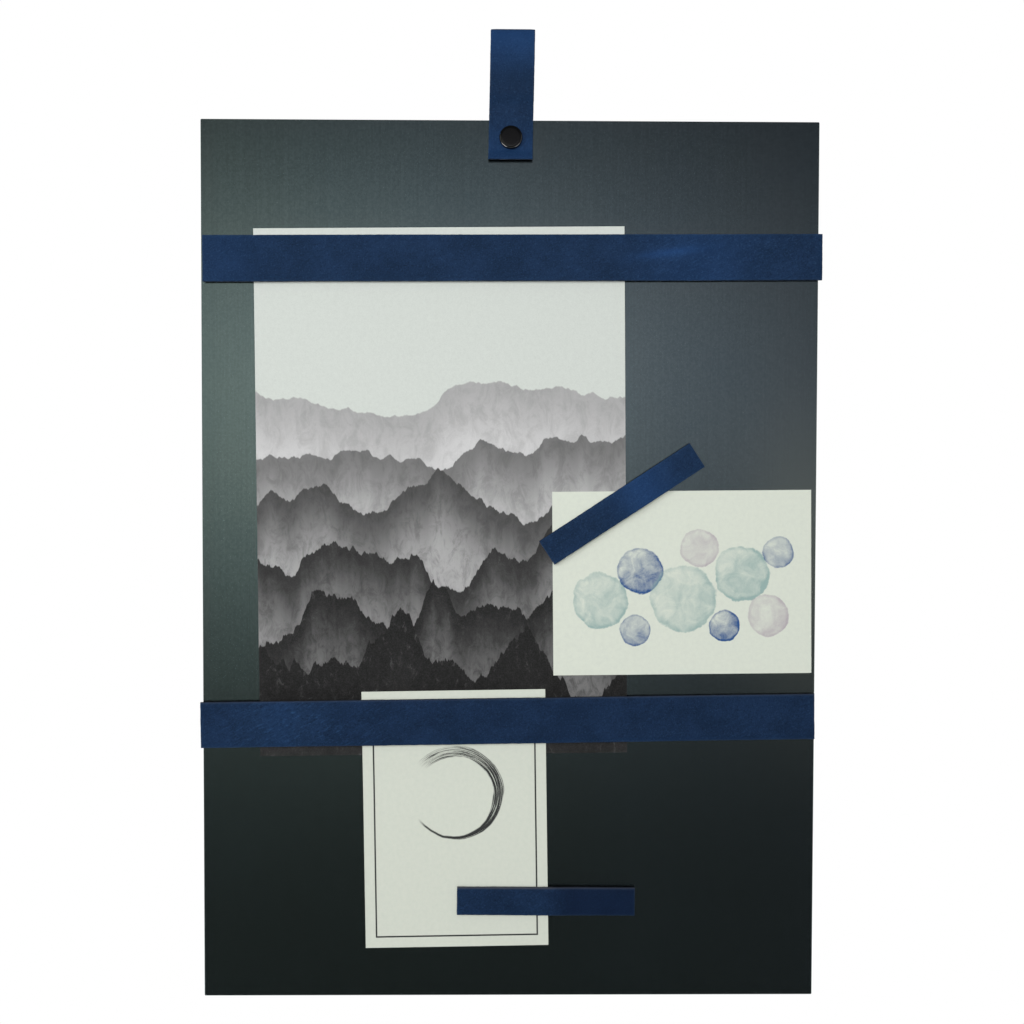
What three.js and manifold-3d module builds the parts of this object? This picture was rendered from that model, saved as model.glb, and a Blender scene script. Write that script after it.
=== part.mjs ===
// A steel magnetic board that hangs from a folded leather loop. Leather straps and strips with
// magnet tape behind them hold a print and two cards against the sheet.
//
// Millimetres, +Z up. The board's face looks along -Y and its width runs along X. The origin is
// where a hook carries the loop: inside the fold, on the middle of the sheet's thickness.

import * as THREE from "three";
import { mergeVertices } from "three/addons/utils/BufferGeometryUtils.js";
import Module from "manifold-3d";

const wasm = await Module();
wasm.setup();

// Steel board
const BOARD_WIDTH = 350;
const BOARD_HEIGHT = 500;
const BOARD_THICKNESS = 1.5;
const BOARD_CORNER_RADIUS = 0.6;
const BOARD_EDGE_BREAK = 0.2;

// Leather and the magnet tape behind it
const LEATHER_THICKNESS = 2.2;
const LEATHER_EDGE_BREAK = 0.4;
const LEATHER_CORNER_RADIUS = 0.8;
const MAGNET_THICKNESS = 1.3;
const MAGNET_INSET = 1;
const GLUE_LINE = 0.1;

// Long straps, which are cut to the board's width, and short strips
const STRAP_WIDTH = 26;
const STRIP_LENGTH = 102;
const STRIP_WIDTH = 16;

// Hanger loop: a strap folded in half, whose legs part just above the board, stand furthest apart
// about halfway up and lean together again towards the fold
const HANGER_WIDTH = 25;
const HANGER_RISE = 51;
const HANGER_END_MARGIN = 12.5;
const LEGS_TOGETHER_RISE = 2;
const EYE_WIDEST_RISE = 20;
const EYE_HALF_WIDTH = 3.8;
const FOLD_INSIDE_RADIUS = 2.8;
const FOLD_LEAN = 10;

// Binding post, with its smooth head in front, and the slotted screw that goes in from behind
const POST_BELOW_BOARD_TOP = 10.3;
const POST_HEAD_DIAMETER = 13;
const POST_HEAD_THICKNESS = 2.4;
const POST_HEAD_RIM_RADIUS = 0.8;
const POST_BARREL_DIAMETER = 5.6;
const POST_BARREL_SHORTFALL = 0.4;
const POST_BORE_FLOOR = 0.8;
const SCREW_HEAD_DIAMETER = 10;
const SCREW_HEAD_THICKNESS = 1.8;
const SCREW_HEAD_RIM_RADIUS = 0.6;
const SCREW_SHANK_DIAMETER = 3.2;
const SCREW_TIP_GAP = 0.6;
const SLOT_WIDTH = 1.2;
const SLOT_DEPTH = 0.9;

// Sheets on display
const PRINT_WIDTH = 210;
const PRINT_HEIGHT = 300;
const PRINT_THICKNESS = 0.3;
const CARD_LONG_SIDE = 148;
const CARD_SHORT_SIDE = 105;
const CARD_THICKNESS = 0.4;

// Clearances: between pieces that lie on each other, and round the barrel and the shank
const SEAT_GAP = 0.1;
const HOLE_CLEARANCE = 0.3;
const THREAD_CLEARANCE = 0.3;

// Where each piece lies on the board: its centre from the board's centre, right and up, and how far
// it is turned counter-clockwise seen from the front, in degrees
const PRINT_PLACE = { right: -39, up: 39.7, turn: 0.57 };
const LANDSCAPE_CARD_PLACE = { right: 98.5, up: -11.6, turn: 0.58 };
const PORTRAIT_CARD_PLACE = { right: -31, up: -147.5, turn: 0.89 };
const TOP_STRAP_PLACE = { right: 1.5, up: 172.3, turn: 0.35 };
const BOTTOM_STRAP_PLACE = { right: -0.6, up: -90.4, turn: 0.8 };
const UPPER_STRIP_PLACE = { right: 63.6, up: 33.4, turn: 33.2 };
const LOWER_STRIP_PLACE = { right: 21, up: -194.4, turn: -0.4 };

// Facets
const CURVE_SEGMENTS = 4;
const FOLD_SEGMENTS = 8;
const ROUND_SEGMENTS = 48;
const RIM_SEGMENTS = 4;
const BREAK_SEGMENTS = 2;
const MERGE_DISTANCE = 1e-4;

// Heights, from the hook's seat at zero
const boardTop = LEATHER_THICKNESS - HANGER_RISE;
const boardCentre = boardTop - BOARD_HEIGHT / 2;
const postHeight = boardTop - POST_BELOW_BOARD_TOP;

// Distances in front of the sheet's middle, from the board's face outwards
const boardFace = BOARD_THICKNESS / 2;
const printBack = boardFace + SEAT_GAP;
const printFace = printBack + PRINT_THICKNESS;
const cardBack = printFace + SEAT_GAP;
const cardFace = cardBack + CARD_THICKNESS;
const overPrint = printFace + SEAT_GAP;
const overCards = cardFace + SEAT_GAP;

// The hanger's legs lie on both faces of the board
const legInside = boardFace + SEAT_GAP;
const legOutside = legInside + LEATHER_THICKNESS;
const holeRadius = POST_BARREL_DIAMETER / 2 + HOLE_CLEARANCE;

// Materials
function finish(color, roughness, metalness) {
  return new THREE.MeshStandardMaterial({ color, roughness, metalness });
}

const steel = finish(0x4d585b, 0.4, 0.85);
const blackSteel = finish(0x17191a, 0.25, 0.5);
const navyLeather = finish(0x20355a, 0.6, 0);
const magnetTape = finish(0x2b2624, 0.85, 0);
const printPaper = finish(0xd6dcd6, 0.85, 0);
const cardPaper = finish(0xe2e4da, 0.85, 0);

// Solids for cutting
function solidOf(geometry) {
  const bare = geometry.clone();
  bare.deleteAttribute("normal");
  bare.deleteAttribute("uv");
  const merged = mergeVertices(bare, MERGE_DISTANCE);
  return new wasm.Manifold(
    new wasm.Mesh({
      numProp: 3,
      vertProperties: new Float32Array(merged.attributes.position.array),
      triVerts: new Uint32Array(merged.index.array),
    }),
  );
}

function geometryOf(solid) {
  const cut = solid.getMesh();
  const geometry = new THREE.BufferGeometry();
  geometry.setAttribute("position", new THREE.BufferAttribute(cut.vertProperties, 3));
  geometry.setIndex(new THREE.BufferAttribute(cut.triVerts, 1));
  geometry.computeVertexNormals();
  return geometry;
}

function subtract(geometry, cutter) {
  return geometryOf(solidOf(geometry).subtract(solidOf(cutter)));
}

// A rectangle round the origin whose corners are arcs
function rectangle(width, height, cornerRadius) {
  const x = width / 2 - cornerRadius;
  const y = height / 2 - cornerRadius;
  const shape = new THREE.Shape();
  shape.absarc(x, y, cornerRadius, 0, Math.PI / 2);
  shape.absarc(-x, y, cornerRadius, Math.PI / 2, Math.PI);
  shape.absarc(-x, -y, cornerRadius, Math.PI, Math.PI * 1.5);
  shape.absarc(x, -y, cornerRadius, Math.PI * 1.5, Math.PI * 2);
  return shape;
}

// An outline swept through a thickness, with both its edges broken by a small round
function slab(shape, thickness, edgeBreak) {
  const geometry = new THREE.ExtrudeGeometry(shape, {
    depth: thickness - 2 * edgeBreak,
    bevelEnabled: edgeBreak > 0,
    bevelThickness: edgeBreak,
    bevelSize: edgeBreak,
    bevelOffset: -edgeBreak,
    bevelSegments: BREAK_SEGMENTS,
    curveSegments: CURVE_SEGMENTS,
  });
  return geometry.translate(0, 0, edgeBreak);
}

// A slab that stands upright: its back is at zero and its face looks along -Y
function uprightSlab(shape, thickness, edgeBreak) {
  return slab(shape, thickness, edgeBreak).rotateX(Math.PI / 2);
}

// Half of a turned piece's outline as (radius, y) points, from one end of its axis to the other
function turned(points) {
  return new THREE.LatheGeometry(points, ROUND_SEGMENTS);
}

// A quarter round in a turned outline, about a centre, from one angle to another
function quarterRound(radius, y, round, fromAngle, toAngle) {
  return Array.from({ length: RIM_SEGMENTS + 1 }, (_, step) => {
    const angle = fromAngle + ((toAngle - fromAngle) * step) / RIM_SEGMENTS;
    return new THREE.Vector2(radius + round * Math.cos(angle), y + round * Math.sin(angle));
  });
}

function named(name, geometry, material) {
  const mesh = new THREE.Mesh(geometry, material);
  mesh.name = name;
  return mesh;
}

// Puts a piece on the board, a distance in front of the sheet's middle
function lay(piece, place, back) {
  piece.position.set(place.right, -back, boardCentre + place.up);
  piece.rotation.y = -THREE.MathUtils.degToRad(place.turn);
  return piece;
}

// A cylinder along Y through the post's place, long enough to pass through everything there
function postHole() {
  const length = 4 * legOutside;
  const hole = new THREE.CylinderGeometry(holeRadius, holeRadius, length, ROUND_SEGMENTS);
  return hole.translate(0, 0, postHeight);
}

function steelBoard() {
  const outline = rectangle(BOARD_WIDTH, BOARD_HEIGHT, BOARD_CORNER_RADIUS);
  const sheet = uprightSlab(outline, BOARD_THICKNESS, BOARD_EDGE_BREAK);
  sheet.translate(0, boardFace, boardCentre);
  return named("steel_board", subtract(sheet, postHole()), steel);
}

// The folded strap's middle line in the side view, from the front leg's end over the fold to the
// rear leg's end. The rear half mirrors the front half.
function foldLine() {
  const leg = legInside + LEATHER_THICKNESS / 2;
  const eye = EYE_HALF_WIDTH + LEATHER_THICKNESS / 2;
  const fold = FOLD_INSIDE_RADIUS + LEATHER_THICKNESS / 2;
  const lean = THREE.MathUtils.degToRad(FOLD_LEAN);
  const legEnd = postHeight - HANGER_END_MARGIN;
  const partHeight = boardTop + LEGS_TOGETHER_RISE;
  const eyeHeight = boardTop + EYE_WIDEST_RISE;
  const foldHeight = -FOLD_INSIDE_RADIUS;
  const foldStart = new THREE.Vector2(-fold * Math.cos(lean), foldHeight + fold * Math.sin(lean));
  const leanHeight = foldStart.y - (eye + foldStart.x) / Math.tan(lean);
  const ease = (eyeHeight - partHeight) / 2;
  const half = new THREE.Path();
  half.moveTo(-leg, legEnd);
  half.lineTo(-leg, partHeight);
  half.bezierCurveTo(-leg, partHeight + ease, -eye, eyeHeight - ease, -eye, eyeHeight);
  half.quadraticCurveTo(-eye, leanHeight, foldStart.x, foldStart.y);
  half.absarc(0, foldHeight, fold, Math.PI - lean, Math.PI / 2, true);
  const front = half.getPoints(FOLD_SEGMENTS);
  const rear = front.slice(0, -1).reverse();
  return [...front, ...rear.map((point) => new THREE.Vector2(-point.x, point.y))];
}

// A line's copy, moved sideways by a distance and mitred where the line turns
function offsetLine(points, distance) {
  return points.map((point, index) => {
    const before = points[Math.max(index - 1, 0)];
    const after = points[Math.min(index + 1, points.length - 1)];
    const arriving = point.clone().sub(before).normalize();
    const leaving = after.clone().sub(point).normalize();
    const along = arriving.add(leaving).normalize();
    return new THREE.Vector2(point.x - along.y * distance, point.y + along.x * distance);
  });
}

function hangerLoop() {
  const line = foldLine();
  const outside = offsetLine(line, LEATHER_THICKNESS / 2);
  const inside = offsetLine(line, -LEATHER_THICKNESS / 2);
  const profile = new THREE.Shape([...outside, ...inside.reverse()]);
  const sideToWidth = new THREE.Matrix4().makeBasis(
    new THREE.Vector3(0, 1, 0),
    new THREE.Vector3(0, 0, 1),
    new THREE.Vector3(1, 0, 0),
  );
  const strap = slab(profile, HANGER_WIDTH, LEATHER_EDGE_BREAK).applyMatrix4(sideToWidth);
  strap.translate(-HANGER_WIDTH / 2, 0, 0);
  return named("hanger_loop", subtract(strap, postHole()), navyLeather);
}

function bindingPost() {
  const headRadius = POST_HEAD_DIAMETER / 2;
  const barrelRadius = POST_BARREL_DIAMETER / 2;
  const boreRadius = SCREW_SHANK_DIAMETER / 2 + THREAD_CLEARANCE;
  const headBack = -(legOutside + SEAT_GAP);
  const headFront = headBack - POST_HEAD_THICKNESS;
  const rim = POST_HEAD_RIM_RADIUS;
  const outline = [
    new THREE.Vector2(0, headFront),
    ...quarterRound(headRadius - rim, headFront + rim, rim, -Math.PI / 2, 0),
    new THREE.Vector2(headRadius, headBack),
    new THREE.Vector2(barrelRadius, headBack),
    new THREE.Vector2(barrelRadius, legOutside - POST_BARREL_SHORTFALL),
    new THREE.Vector2(boreRadius, legOutside - POST_BARREL_SHORTFALL),
    new THREE.Vector2(boreRadius, headBack + POST_BORE_FLOOR),
    new THREE.Vector2(0, headBack + POST_BORE_FLOOR),
  ];
  const geometry = turned(outline).translate(0, 0, postHeight);
  return named("binding_post", geometry, blackSteel);
}

function bindingScrew() {
  const headRadius = SCREW_HEAD_DIAMETER / 2;
  const shankRadius = SCREW_SHANK_DIAMETER / 2;
  const tip = -(legOutside + SEAT_GAP) + POST_BORE_FLOOR + SCREW_TIP_GAP;
  const headFront = legOutside + SEAT_GAP;
  const headBack = headFront + SCREW_HEAD_THICKNESS;
  const rim = SCREW_HEAD_RIM_RADIUS;
  const outline = [
    new THREE.Vector2(0, tip),
    new THREE.Vector2(shankRadius, tip),
    new THREE.Vector2(shankRadius, headFront),
    new THREE.Vector2(headRadius, headFront),
    ...quarterRound(headRadius - rim, headBack - rim, rim, 0, Math.PI / 2),
    new THREE.Vector2(0, headBack),
  ];
  const slot = new THREE.BoxGeometry(2 * SCREW_HEAD_DIAMETER, 2 * SLOT_DEPTH, SLOT_WIDTH);
  slot.translate(0, headBack, 0);
  const geometry = subtract(turned(outline), slot).translate(0, 0, postHeight);
  return named("binding_screw", geometry, blackSteel);
}

// A leather piece with magnet tape glued behind it, standing on its tape
function magneticLeather(name, length, width) {
  const leatherShape = rectangle(length, width, LEATHER_CORNER_RADIUS);
  const leather = uprightSlab(leatherShape, LEATHER_THICKNESS, LEATHER_EDGE_BREAK);
  leather.translate(0, -(MAGNET_THICKNESS + GLUE_LINE), 0);
  const tapeShape = new THREE.Shape();
  const tapeLength = length - 2 * MAGNET_INSET;
  const tapeWidth = width - 2 * MAGNET_INSET;
  tapeShape.moveTo(-tapeLength / 2, -tapeWidth / 2);
  tapeShape.lineTo(tapeLength / 2, -tapeWidth / 2);
  tapeShape.lineTo(tapeLength / 2, tapeWidth / 2);
  tapeShape.lineTo(-tapeLength / 2, tapeWidth / 2);
  const tape = uprightSlab(tapeShape, MAGNET_THICKNESS, 0);
  const pair = new THREE.Group();
  pair.add(named(`${name}_leather`, leather, navyLeather));
  pair.add(named(`${name}_magnet`, tape, magnetTape));
  return pair;
}

function paperSheet(name, width, height, thickness, material) {
  const geometry = new THREE.BoxGeometry(width, thickness, height);
  geometry.translate(0, -thickness / 2, 0);
  return named(name, geometry, material);
}

const longStrap = [BOARD_WIDTH, STRAP_WIDTH];
const shortStrip = [STRIP_LENGTH, STRIP_WIDTH];
const print = [PRINT_WIDTH, PRINT_HEIGHT, PRINT_THICKNESS];
const wideCard = [CARD_LONG_SIDE, CARD_SHORT_SIDE, CARD_THICKNESS];
const tallCard = [CARD_SHORT_SIDE, CARD_LONG_SIDE, CARD_THICKNESS];

const board = new THREE.Group();
board.add(steelBoard(), hangerLoop(), bindingPost(), bindingScrew());
board.add(lay(paperSheet("art_print", ...print, printPaper), PRINT_PLACE, printBack));
board.add(lay(paperSheet("landscape_card", ...wideCard, cardPaper), LANDSCAPE_CARD_PLACE, cardBack));
board.add(lay(paperSheet("portrait_card", ...tallCard, cardPaper), PORTRAIT_CARD_PLACE, cardBack));
board.add(lay(magneticLeather("top_strap", ...longStrap), TOP_STRAP_PLACE, overPrint));
board.add(lay(magneticLeather("bottom_strap", ...longStrap), BOTTOM_STRAP_PLACE, overCards));
board.add(lay(magneticLeather("upper_strip", ...shortStrip), UPPER_STRIP_PLACE, overCards));
board.add(lay(magneticLeather("lower_strip", ...shortStrip), LOWER_STRIP_PLACE, overCards));

export default board;
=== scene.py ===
"""Looks of the magnetic board: steel, leather, magnet tape, paper and black steel.

Metres, +Z up. The display face looks along -Y, and the origin is where a hook carries the loop.
"""

import math

import bpy
import numpy as np
from mathutils import Matrix, Vector, noise


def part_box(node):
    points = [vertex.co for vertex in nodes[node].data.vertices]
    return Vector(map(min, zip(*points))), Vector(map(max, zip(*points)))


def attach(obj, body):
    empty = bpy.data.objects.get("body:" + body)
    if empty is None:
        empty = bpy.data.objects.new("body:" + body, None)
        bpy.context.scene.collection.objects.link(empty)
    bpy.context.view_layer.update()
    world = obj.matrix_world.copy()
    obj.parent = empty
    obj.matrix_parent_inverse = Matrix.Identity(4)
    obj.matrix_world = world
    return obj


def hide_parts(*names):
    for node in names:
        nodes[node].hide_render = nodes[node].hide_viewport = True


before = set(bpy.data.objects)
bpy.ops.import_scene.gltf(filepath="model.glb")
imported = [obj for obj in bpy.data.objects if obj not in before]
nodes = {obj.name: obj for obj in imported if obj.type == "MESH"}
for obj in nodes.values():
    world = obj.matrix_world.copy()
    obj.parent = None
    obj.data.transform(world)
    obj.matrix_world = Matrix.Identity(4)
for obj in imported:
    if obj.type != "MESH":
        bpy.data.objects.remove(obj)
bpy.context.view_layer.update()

MM = 0.001
SHARP_ANGLE = math.radians(40)


def colour(red, green, blue):
    """A colour written as it should look, 0 to 255, in the linear values that shaders take."""
    def linear(value):
        share = value / 255
        return share / 12.92 if share <= 0.04045 else ((share + 0.055) / 1.055) ** 2.4
    return (linear(red), linear(green), linear(blue), 1.0)


def grey(tone):
    return colour(tone, tone, tone)


# Camera: its place from the middle of the board's face, and its angles in degrees
CAMERA_PLACE = Vector((-0.00629, -0.68408, 0.04772))
CAMERA_ANGLES = (88.401, -0.130, -0.619)
FOCAL_LENGTH_MM = 42.19
SENSOR_WIDTH_MM = 36

# Steel: sizes of its clouds, specks and upright brushing, and their tones and shares
STEEL_CLOUD = 110 * MM
STEEL_SPECK = 1.2 * MM
BRUSH_WIDTH = 0.9 * MM
BRUSH_LENGTH = 170 * MM
STEEL_TONES = (colour(93, 107, 108), colour(90, 105, 108))
STEEL_SPECK_TONE = colour(110, 125, 127)
STEEL_SPECK_SHARE = 0.5
BRUSH_TONE = colour(80, 92, 93)
BRUSH_SHARE = 0.2
STEEL_ROUGHNESS = 0.22
STEEL_UNEVENNESS = 0.05

# Painted reflection: a lighter haze on the steel's face by its right edge, standing in for brighter
# reflected light there: place from the board's middle and reach, in millimetres
PAINTED_REFLECTION_PLACE = (175, -8)
PAINTED_REFLECTION_REACH = (38, 80)
PAINTED_REFLECTION_FADE = 0.5
PAINTED_REFLECTION_TONE = colour(137, 149, 140)
PAINTED_REFLECTION_SHARE = 0.6
PAINTED_REFLECTION_CLOUDING = 0.8

# Leather's form: mesh cells, rounded cut edges, the sink of the face towards them and the wander of a cut
LEATHER_CELL = 0.8 * MM
LOOP_CELL = 0.6 * MM
LEATHER_EDGE_ROUND = 0.5 * MM
LEATHER_BACK_ROUND = 0.15 * MM
LEATHER_EDGE_SINK = 0.12 * MM
LEATHER_SINK_WIDTH = 3 * MM
CUT_WANDER = 0.14 * MM
CUT_WANDER_LENGTH = 36 * MM
CUT_ROUGHNESS = 0.1 * MM
CUT_ROUGHNESS_LENGTH = 2.2 * MM
HIDE_SWELL = 0.07 * MM
HIDE_SWELL_LENGTH = 22 * MM
EDGE_STEPS = 4

# Seeds of the leather pieces, and what a second and a third noise add to them
LOOP_SEED = 61
TOP_SEED = 11
BOTTOM_SEED = 23
UPPER_SEED = 37
LOWER_SEED = 49
ROUGHNESS_SEED = 5
SWELL_SEED = 9

# How much a seed moves a noise in depth, as a share, and a piece's patch of hide, in metres
SEED_SKEW = 0.37
HIDE_PATCH = 0.31

# Leather's grain: sizes of its features, then their tones and shares
LEATHER_CLOUD = 19 * MM
LEATHER_SPECK = 0.85 * MM
LEATHER_PEBBLE = 1.1 * MM
CREASE_LENGTH = 8 * MM
CREASE_WIDTH = 1.3 * MM
WORKED_PATCH = 24 * MM
LEATHER_TONES = (colour(21, 42, 69), colour(27, 50, 81))
CREASE_TONE = colour(12, 26, 46)
CREASE_SHARE = 0.3
FURROW_TONE = colour(10, 22, 42)
FURROW_SHARE = 0.55
RIDGE_TONE = colour(44, 78, 118)
RIDGE_SHARE = 0.6
PORE_TONE = colour(9, 21, 40)
PORE_SHARE = 0.6
SPECK_TONE = colour(50, 78, 112)
SPECK_SHARE = 0.45
PAINTED_LIGHT_AND_PULL_TONE = colour(44, 92, 158)
PAINTED_SHADE_TONE = colour(2, 9, 32)
WORN_TONE = colour(48, 72, 102)
WORN_SHARE = 0.15
WORN_POWER = 6
LEATHER_ROUGHNESS = 0.5
LEATHER_SHINE = 0.1

# Wrinkles in the leather: length and width in millimetres, and two slopes against the strap
WRINKLE_LENGTH = 7
WRINKLE_WIDTH = 1.2
WRINKLE_SLANT = 0.7
WRINKLE_LEAN = 0.5

# Leather's cut edge and flesh side, and the painted highlight that lies on an upper edge and reaches down
# the face
FIBRE_LENGTH = 1.7 * MM
FIBRE_WIDTH = 0.4 * MM
RAW_LUMP = 2.8 * MM
RAW_TONES = (colour(12, 18, 30), colour(32, 44, 64))
RAW_ROUGHNESS = 0.86
RAW_SHINE = 0.2
PAINTED_EDGE_HIGHLIGHT = colour(70, 73, 82)
EDGE_HIGHLIGHT_REACH = 0.9 * MM

# Lightening and darkening along straps and strips, partly painted highlight and painted shade, and their
# wear by wrinkles: a base share, then stretches as (share, middle along the piece, reach)
TOP_LIGHTENING = (0.0, [(0.1, 105 * MM, 30 * MM), (0.05, -160 * MM, 20 * MM)])
TOP_CREASING = (0.25, [(0.35, 110 * MM, 60 * MM)])
# Painted shade over the whole bottom strap, and a lighter stretch by its left end
BOTTOM_PAINTED_SHADE_AND_LIGHTENING = (-0.2, [(0.24, -130 * MM, 26 * MM)])
BOTTOM_CREASING = (0.3, [(0.7, -115 * MM, 45 * MM)])
# Painted highlight where the upper strip bends down past the card's edge
UPPER_PAINTED_HIGHLIGHT = (0.0, [(0.18, 14 * MM, 17 * MM)])
STRIP_CREASING = (0.25, [])
# Painted highlight along the bottom strap's upper edge
BOTTOM_EDGE_HIGHLIGHT = 0.3

# Wear of the loop by wrinkles, and painted light that makes it lighter at its top and by its end
LOOP_CREASING = 0.1
LOOP_TOP_PAINTED_LIGHT = 0.22
LOOP_TOP_REACH = 30 * MM
LOOP_END_PAINTED_LIGHT = 0.1

# Lower strip: a painted highlight where it bends just past the tall card's edge, painted shade all along
# it that deepens beyond that edge, and a painted highlight on its upper edge that is fainter beyond it
LOWER_BEND_PAINTED_HIGHLIGHT = 0.12
LOWER_BEND_PLACE = 2 * MM
LOWER_BEND_REACH = 7 * MM
LOWER_PAINTED_SHADE = 0.18
BEYOND_PAINTED_SHADE = 0.42
BEYOND_PAINTED_SHADE_START = -8 * MM
BEYOND_PAINTED_SHADE_RUN = 24 * MM
LOWER_EDGE_HIGHLIGHT = 0.9
BEYOND_EDGE_HIGHLIGHT_LOSS = 0.45
BEYOND_EDGE_HIGHLIGHT_RUN = 6 * MM

# A light smear across the top strap
SMEAR_SHARE = 0.2
SMEAR_PLACE = 88 * MM
SMEAR_LENGTH = 18 * MM
SMEAR_WIDTH = 2.4 * MM
SMEAR_RISE = 2.5 * MM
SMEAR_SLOPE = 0.12

# Hanger loop, as the solid has it: rises are above the board's top edge
LEGS_TOGETHER_RISE = 2 * MM
EYE_WIDEST_RISE = 20 * MM
EYE_HALF_WIDTH = 3.8 * MM
FOLD_INSIDE_RADIUS = 2.8 * MM
FOLD_LEAN = math.radians(10)
LINE_STEPS = 60

# Hanger loop's own soft form: its lean, its lifted front end and the dent under the post's head
LOOP_LEAN = 0.018
LEG_END_LIFT = 2.6 * MM
HEAD_PRESS = 0.3 * MM
HEAD_PRESS_REACH = 4 * MM

# Black steel
ROUND_SEGMENTS = 96
HEAD_RIM_RADIUS = 1.3 * MM
HEAD_CROWN = 0.02 * MM
CROWN_SHARES = (0.3, 0.6, 0.85)
BARREL_RADIUS = 2.8 * MM
SCREW_RIM_RADIUS = 0.6 * MM
SLOT_WIDTH = 1.2 * MM
SLOT_DEPTH = 0.9 * MM
RIM_STEPS = 8
LACQUER_TONE = colour(5, 6, 6)
LACQUER_ROUGHNESS = 0.14
LACQUER_SHINE = 0.4
LACQUER_HAZE = 3.8 * MM
LACQUER_DUST = 0.55 * MM
LACQUER_DUST_TONE = colour(44, 46, 48)
LACQUER_DUST_SHARE = 0.25

# Magnet tape
TAPE_CELL = 4 * MM
TAPE_LINE_LENGTH = 25 * MM
TAPE_LINE_WIDTH = 0.4 * MM
TAPE_DUST = 1.1 * MM
TAPE_TONES = (colour(26, 23, 22), colour(48, 43, 40))
TAPE_ROUGHNESS = 0.8

# Paper: mesh cell, tooth and clouds, and the two close tones of each paper
PAPER_CELL = 3 * MM
PAPER_TOOTH = 0.4 * MM
PAPER_CLOUD = 2.6 * MM
PAPER_ROUGHNESS = 0.72
PAPER_SHINE = 0.3
PRINT_TONES = (colour(215, 221, 215), colour(211, 217, 211))
CARD_TONES = (colour(221, 227, 214), colour(216, 222, 210))
# Painted shade: the tall card's paper is darker for the dimmer light low on the board
SHADED_CARD_TONES = (colour(215, 220, 208), colour(210, 216, 204))

# Settling: the gap between stacked pieces, and the runs over which a piece settles past an edge
SEAT_GAP = 0.1 * MM
CARD_SETTLE_RUN = 14 * MM
STRIP_SETTLE_START = 8 * MM
STRIP_SETTLE_RUN = 34 * MM
STRAP_SETTLE_RUN = 22 * MM

# Hills on the print: pairs are for the farthest and the nearest range, lengths in millimetres
HILL_RANGES = 6
CRESTS = (54, -98)
CREST_SWINGS = (34, 60)
OUTLINE_LENGTHS = (90, 60)
OUTLINE_SHIFT = 300
TREETOP_LENGTHS = (1.8, 3)
TREETOP_SHIFT = 170
TREETOP_HEIGHT = 5
HILL_TONES = (176, 24)
HILL_TONE_POWER = 2
MIST_TONES = (216, 36)
MIST_TONE_POWER = 0.5
MIST_DEPTHS = (46, 60)
WOODS_WIDTHS = (9, 4)
WOODS_HEIGHTS = (16, 7)
WOODS_DEPTH = 9
WOODS_SHADES = (0.2, 0.6)
WOODS_SHADE_TONE = 0.4
WOODS_LIGHT = 0.3
WOODS_LIGHT_TONE = 120
FILM_GRAIN = 0.6 * MM
FILM_TONE = 121
FILM_SHARE = 0.12

# Watercolour on the wide card: its wobble, bloom and granules, and a drop's edge, rim and depth of tone
WOBBLE_SIZE = 11 * MM
WOBBLE = 0.45
BLOOM_SIZE = 9 * MM
BLOOM = 1.6
GRANULE_SIZE = 0.9 * MM
GRANULES = 0.35
DROP_EDGE = (1.02, 0.96)
DROP_RIM = (0.8, 0.99)
RIM_DEPTH = 0.35
WASH_DEPTH = 0.45
POOL_RIGHT = 0.125
POOL_DOWN = 0.2
INDIGO = colour(40, 82, 138)
SEA_GREEN = colour(152, 178, 174)
MAUVE = colour(180, 172, 178)

# The drops: middle and radius in millimetres, pigment, depth of tone
DROPS = [
    (-47, -10, 16, SEA_GREEN, 1.0),
    (-27, -27, 9, INDIGO, 0.9),
    (-24, 7, 13, INDIGO, 1.1),
    (1, -9, 19, SEA_GREEN, 0.9),
    (10, 20, 11, MAUVE, 0.9),
    (24, -25, 9, INDIGO, 1.2),
    (34, 5, 16, SEA_GREEN, 1.1),
    (49, -19, 12, MAUVE, 0.9),
    (55, 17, 9, INDIGO, 0.8),
]

# Tall card: a border line and an open brush ring, in millimetres and, along the stroke, in turns
BORDER_INSET = 6.3
BORDER_HALF_WIDTH = 0.45
BORDER_BLUR = 0.1
RING_RISE = 14
RING_RADIUS = 25
RING_WANDER = 3.0
RING_WANDER_ANGLE = 0.8
RING_START = (0.02, 0.05)
RING_END = (0.97, 0.93)
STROKE_START = 0.9
STROKE_GAIN = 2.6
STROKE_GAIN_RUN = (0.02, 0.6)
STROKE_BLUR = 0.8
BRISTLES_AROUND = 0.9
BRISTLES_ACROSS = 2.2
DRY_LEVELS = (0.62, 0.7)
DRYING = 0.2
DRY_INK = 0.15
INK = colour(46, 48, 48)

# Studio: soft light that comes mostly from ahead, a little from above and from the left
AMBIENT = 0.36
LIGHT_ALL_ROUND = 0.12
LIGHT_AHEAD = 5.4
LIGHT_OVERHEAD = 0.5
AHEAD_POWER = 12
LEAN_UP = 1.3
LEAN_LEFT = 0.5

# What glossy surfaces mirror, by a direction's right, depth and up: white surroundings, dim in places
DIM_AHEAD = 0.041
DIM_AHEAD_END = (-0.82, -0.5)
DIM_ABOVE = 0.9
DIM_ABOVE_START = (0.15, 0.6)
DIM_BEHIND = 0.45
DIM_BEHIND_START = (0.0, 0.7)

# A window's glow ahead, by slopes against the straight direction
GLOW = 1.37
GLOW_SLOPE = (-0.1253, 0.085)
GLOW_WIDTH = 0.344
GLOW_ABOVE = 0.149
GLOW_BELOW = 0.172
GLOW_SIDES = (0.0, -0.5)
LEAST_AHEAD = 0.01

# A bright table that stands below, close to the board
TABLE_GLOW = 20
TABLE_TOP = (-0.25, -0.65)
TABLE_FRONT = (-0.45, -0.25)
TABLE_BACK = (0.1, 0.0)
TABLE_SIDES = (-0.2, 0.7)
TABLE_RIGHT_SHARE = 0.3

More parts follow.
